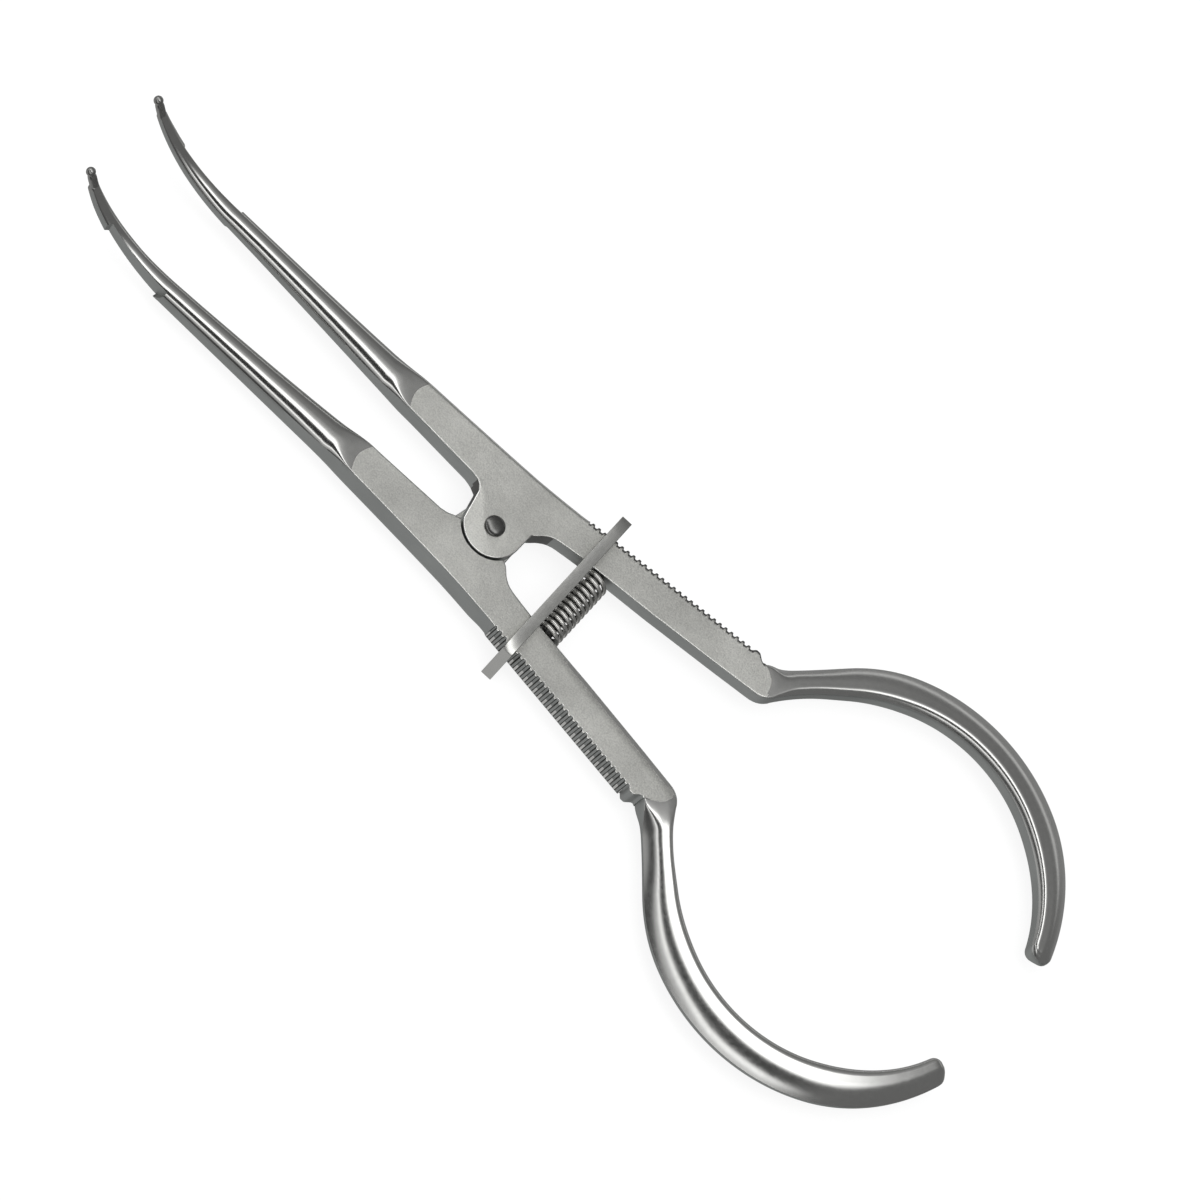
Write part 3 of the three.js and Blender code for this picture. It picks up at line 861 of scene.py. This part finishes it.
def arm_face_material(centre, normal):
    """The material of one face of an arm, from its place in millimetres and its normal: a finish of the
    steel on the pegs and on faces that face up, painted shade on the other faces and along the right arm's
    toothed edge.
    """
    x = centre[0]
    side = abs(centre[1])
    if x > DULL_X:
        return PEG
    # On the hook and the jaw, faces that don't face up take the darker copy of the steel: painted shade
    if on_hook(centre):
        return HOOK if normal.z > HOOK_UPWARD else SIDE_SHADE
    if on_jaw(x, side):
        return POLISH if normal.z > JAW_UPWARD else SIDE_SHADE
    if normal.z > FLAT_UPWARD:
        return SATIN
    # Walls take the darker copy of the steel as painted shade; the lengthwise-facing flanks of the teeth and
    # the walls beside the lug take the near-black painted shade
    if abs(normal.z) < WALL_UPWARD:
        toothed = LAST_GROOVE < x < FIRST_GROOVE and side > crest_side(x) - 2 * TOOTH_DEPTH
        fork = FORK_X[0] < abs(x) < FORK_X[1] and side < FORK_SIDE
        return GROOVE_SHADE if abs(normal.x) > FLANK_LENGTHWISE and (toothed or fork) else SIDE_SHADE
    # Rounded upper edges are polished, except for a near-black painted shade outline along the right arm's
    # teeth
    if normal.z > 0:
        plain = centre[1] > 0 or x > FIRST_GROOVE or side < inner_side(x) + INNER_STRIP
        return EDGE if plain else GROOVE_SHADE
    # Undersides take the darker copy of the steel: painted shade
    return SIDE_SHADE


def assign_arm_materials(obj):
    obj.data.materials.clear()
    for material in ARM_FINISHES_AND_SHADES:
        obj.data.materials.append(material)
    slots = {material.name: index for index, material in enumerate(ARM_FINISHES_AND_SHADES)}
    for face in obj.data.polygons:
        face.material_index = slots[arm_face_material(face.center / MM, face.normal).name]
    shade(obj)


def finish(obj, material):
    recalculate(obj)
    obj.data.materials.append(material)
    shade(obj)


# ---- small pieces ----
RIVET_POLE = 0.02  # radius of the flat spot on the axis, which closes each end
RIVET_CHAMFER = 0.1
RIVET_LIP = 0.05
RIVET_STEPS = 12
RIVET_SIDES = 64

COIL_STEPS = 28  # steps in a turn
WIRE_SIDES = 14
WIRE_SHADE_INSET = 0.3  # how far inside the middle of the wire its painted shade starts, as a share of its radius

STUD_CHAMFER = 0.2

RING_STEPS = 28  # points along each side of the ring
RING_EASE = (2.6, 0.42)  # width and depth of the ease on its upper corners
RING_EASE_HEIGHT = 0.6
RING_BEVEL = 0.14
RING_BEVEL_STEPS = 3


def upright(x, y, height):
    return (x, y, height)


def make_rivet():
    rim = TOP + RIVET_LIFT
    profile = [(RIVET_POLE, 0.0), (RIVET_R - RIVET_CHAMFER, 0.0), (RIVET_R, RIVET_CHAMFER), (RIVET_R, rim)]
    profile += [(RIVET_HEAD_R - RIVET_LIP, rim), (RIVET_HEAD_R, rim + RIVET_LIP)]
    base = 2 * RIVET_LIP
    for turn in steps_between(0, QUARTER, RIVET_STEPS):
        profile.append((RIVET_HEAD_R * math.cos(turn), rim + base + (RIVET_DOME - base) * math.sin(turn)))
    profile.append((RIVET_POLE, rim + RIVET_DOME))
    return lathe("rivet", profile, upright, RIVET_SIDES)


def make_spring():
    steps = round(SPRING_TURNS * COIL_STEPS)
    rings = []
    for i in range(steps + 1):
        t = i / steps
        angle = 2 * math.pi * SPRING_TURNS * t
        out = Vector((math.cos(angle), 0, math.sin(angle)))
        centre = out * SPRING_R + Vector((SPRING_X, SPRING_HALF * (2 * t - 1), SPRING_Z))
        ring = []
        for away, ahead in circle(1, WIRE_SIDES):
            ring.append(tuple(centre + (out * away + Vector((0, ahead, 0))) * SPRING_WIRE_R))
        rings.append(ring)
    return loft("coil_spring", rings)


def paint_inner_shade(coil):
    """Paints shade on the wire's inner side, which shows between the coils, with a near-black copy of the
    wire's steel.
    """
    coil.data.materials.append(WIRE_SHADE)
    for face in coil.data.polygons:
        centre = face.center / MM
        away = math.hypot(centre.x - SPRING_X, centre.z - SPRING_Z)
        if away < SPRING_R - WIRE_SHADE_INSET * SPRING_WIRE_R:
            face.material_index = 1


def make_stud(name, hand):
    low, high = PEG_STUD_ENDS
    profile = [(PEG_STUD_R - STUD_CHAMFER, low), (PEG_STUD_R, low + STUD_CHAMFER)]
    profile += [(PEG_STUD_R, high - STUD_CHAMFER), (PEG_STUD_R - STUD_CHAMFER, high)]
    return lathe(name, profile, on_spring_axis(hand), TURNED_SIDES)


def box_loop(half_y, half_z):
    """Points round a rectangle, with the same number on every side."""
    corners = [(-half_y, -half_z), (half_y, -half_z), (half_y, half_z), (-half_y, half_z)]
    shares = steps_between(0, 1, RING_STEPS)
    loop = []
    for start, end in zip(corners, corners[1:] + corners[:1]):
        loop += between(start, end, shares)
    return loop


def eased(y, z, half):
    """The upper side of the ring rounds down toward its two ends."""
    width, drop = RING_EASE
    share = max(0.0, 1 - (RING_OUT - abs(y)) / width)
    return z - drop * share**2 * smoothstep(z, half - RING_EASE_HEIGHT, half)


def make_ring():
    middle = (RING_TOP + RING_BOTTOM) / 2
    half = (RING_TOP - RING_BOTTOM) / 2
    outer = [(y, eased(y, z, half)) for y, z in box_loop(RING_OUT, half)]
    inner = box_loop(RING_OUT - RING_BORDER_END, half - RING_BORDER)
    lean = Matrix.Rotation(RING_LEAN, 3, "Y")
    points = []
    for loop in (outer, inner):
        for x in (-RING_PLATE / 2, RING_PLATE / 2):
            points += [tuple(lean @ Vector((x, y, z)) + Vector((RING_X, 0, middle))) for y, z in loop]
    count = len(outer)
    faces = []
    for i in range(count):
        j = (i + 1) % count
        faces.append((i, j, count + j, count + i))
        faces.append((2 * count + j, 2 * count + i, 3 * count + i, 3 * count + j))
        faces.append((j, i, 2 * count + i, 2 * count + j))
        faces.append((count + i, count + j, 3 * count + j, 3 * count + i))
    obj = mesh_object("ring_frame", points, faces)
    recalculate(obj)
    bevel = obj.modifiers.new("bevel", "BEVEL")
    bevel.width = RING_BEVEL * MM
    bevel.segments = RING_BEVEL_STEPS
    bevel.limit_method = "ANGLE"
    apply_modifiers(obj)
    return obj


# ---- the object ----
LEFT_EDGES = (0.3, 0.15)  # radii of the top's inner and outer edges
LEFT_EASE = 0.24
RIGHT_EDGES = (0.17, 0.75)


def attach(obj, body, node):
    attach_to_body(obj, body)
    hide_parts(node)


left = make_arm("clamp_arm_left", False, LEFT_EDGES, LEFT_EASE)
right = make_arm("clamp_arm_right", True, RIGHT_EDGES, 0.0)
rivet = make_rivet()
ring_frame = make_ring()
stud_left = make_stud("stud_left", 1)
stud_right = make_stud("stud_right", -1)
coil = make_spring()

assign_arm_materials(left)
assign_arm_materials(right)
finish(rivet, RIVET)
finish(ring_frame, RING)
finish(stud_left, STUD)
finish(stud_right, STUD)
finish(coil, WIRE)
paint_inner_shade(coil)

attach(left, "left_arm", "arm_left")
attach(right, "right_arm", "arm_right")
attach(rivet, "pivot", "pivot_rivet")
attach(ring_frame, "ring", "lock_ring")
attach(stud_left, "left_arm", "spring_peg_left")
attach(stud_right, "right_arm", "spring_peg_right")
attach(coil, "pivot", "spring")
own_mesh(coil)


# ---- camera ----
CAMERA_RIGHT = Vector((-0.71708, -0.60034, 0.35411))
CAMERA_UP = Vector((0.69468, -0.65692, 0.29305))
CAMERA_BACK = Vector((0.05669, 0.45613, 0.88811))
CAMERA_AIM = Vector((-17.481, -2.030, 2.158 + TOP))
CAMERA_DISTANCE = 2.5  # metres
CAMERA_LENS = 543.86
CAMERA_SENSOR = 36
CAMERA_FAR = 20  # metres


def make_camera():
    """A long lens that looks down on the tool from its left side."""
    data = bpy.data.cameras.new("camera")
    data.lens = CAMERA_LENS
    data.sensor_width = CAMERA_SENSOR
    data.clip_end = CAMERA_FAR
    camera = bpy.data.objects.new("camera", data)
    bpy.context.scene.collection.objects.link(camera)
    turn = Matrix((CAMERA_RIGHT, CAMERA_UP, CAMERA_BACK)).transposed().to_4x4()
    camera.matrix_world = Matrix.Translation(CAMERA_AIM * MM + CAMERA_BACK * CAMERA_DISTANCE) @ turn
    bpy.context.scene.camera = camera


# ---- stage ----
FLOOR_HALF = 1500
FLOOR_GREY = 0.12
FLOOR_GLOW = 0.87  # the floor's own light, which keeps its radiance near 1
FLOOR_ROUGH = 0.9

# Brightness of the studio by angle from the zenith: negative toward -Y, positive toward +Y.
STUDIO = [(-180, 0.35), (-120, 0.3), (-93, 0.25), (-90, 0.8), (-83, 0.7), (-79, 0.19), (-60, 0.2)]
STUDIO += [(-44, 0.27), (-30, 0.3), (-20, 0.5), (-10, 0.6), (-4, 1.3), (2, 2.4), (15, 2.4), (19, 0.12)]
STUDIO += [(21, 0.05), (49, 0.05), (51, 1.8), (59, 1.8), (61, 0.7), (73, 0.6), (80, 0.08), (108, 0.08)]
STUDIO += [(122, 0.42), (153, 0.55), (180, 0.45)]
DARK_END = (-0.72, -0.42)  # the studio fades to one dark grey between these shares of X
END_BRIGHT = 0.18
SKEW = math.radians(40)  # how far its bands turn toward -Y for each share of X past the middle

LAMP_SIZE = 2.4  # metres
LAMP_POWER = 42
LAMP_SIDE = 0.3
LAMP_HEIGHT = 1.8


def make_floor():
    low = CAD_BOUNDS[0][2] / MM
    corners = [(-1, -1), (1, -1), (1, 1), (-1, 1)]
    points = [(x * FLOOR_HALF, y * FLOOR_HALF, low) for x, y in corners]
    floor = mesh_object("floor", points, [(0, 1, 2, 3)])
    material = bpy.data.materials.new("floor")
    material.use_nodes = True
    shader = material.node_tree.nodes["Principled BSDF"]
    shader.inputs["Base Color"].default_value = (FLOOR_GREY, FLOOR_GREY, FLOOR_GREY, 1)
    shader.inputs["Roughness"].default_value = FLOOR_ROUGH
    shader.inputs["Specular IOR Level"].default_value = 0.0
    shader.inputs["Emission Color"].default_value = (1, 1, 1, 1)
    shader.inputs["Emission Strength"].default_value = FLOOR_GLOW
    floor.data.materials.append(material)
    floor.visible_glossy = False


def studio_curve(nodes, links, share):
    """The brightness at a share of the way round from -180 to 180 degrees."""
    curve = nodes.new("ShaderNodeFloatCurve")
    line = curve.mapping.curves[0]
    peak = max(value for _, value in STUDIO)
    spots = [((degrees + 180) / 360, value / peak) for degrees, value in STUDIO]
    for point, spot in zip(line.points, spots):
        point.location = spot
    for spot in spots[2:]:
        line.points.new(*spot)
    for point in line.points:
        point.handle_type = "VECTOR"
    curve.mapping.update()
    links.new(share, curve.inputs["Value"])
    return math_node(nodes, links, "MULTIPLY", curve.outputs["Value"], peak)


def make_world():
    """A sky of light and dark bands round the X axis, as the lamps and screens of a studio give."""
    world = bpy.data.worlds.new("studio")
    bpy.context.scene.world = world
    world.use_nodes = True
    nodes, links = world.node_tree.nodes, world.node_tree.links
    background = nodes["Background"]
    background.inputs["Color"].default_value = (1, 1, 1, 1)
    coords = nodes.new("ShaderNodeTexCoord")
    parts = nodes.new("ShaderNodeSeparateXYZ")
    links.new(coords.outputs["Generated"], parts.inputs["Vector"])
    x, y, z = (parts.outputs[axis] for axis in "XYZ")
    skew = math_node(nodes, links, "MULTIPLY", math_node(nodes, links, "MAXIMUM", x, 0.0), SKEW)
    angle = math_node(nodes, links, "ADD", math_node(nodes, links, "ARCTAN2", y, z), skew)
    turns = math_node(nodes, links, "DIVIDE", angle, 2 * math.pi)
    share = math_node(nodes, links, "ADD", turns, 0.5)
    sky = studio_curve(nodes, links, share)
    sky = math_node(nodes, links, "SUBTRACT", sky, END_BRIGHT)
    sky = math_node(nodes, links, "MULTIPLY", sky, map_range(nodes, links, x, DARK_END, kind="SMOOTHSTEP"))
    links.new(math_node(nodes, links, "ADD", sky, END_BRIGHT), background.inputs["Strength"])


def make_lamp():
    """A big soft lamp for the floor, out of the steel's reflections."""
    data = bpy.data.lights.new("ceiling", "AREA")
    data.shape = "DISK"
    data.size = LAMP_SIZE
    data.energy = LAMP_POWER
    lamp = bpy.data.objects.new("ceiling", data)
    bpy.context.scene.collection.objects.link(lamp)
    lamp.location = (0.0, LAMP_SIDE, LAMP_HEIGHT)
    lamp.rotation_euler = (-math.atan2(LAMP_SIDE, LAMP_HEIGHT), 0, 0)
    lamp.visible_glossy = False


bpy.context.scene.view_settings.view_transform = "Standard"
make_camera()
make_floor()
make_world()
make_lamp()

bpy.context.view_layer.update()
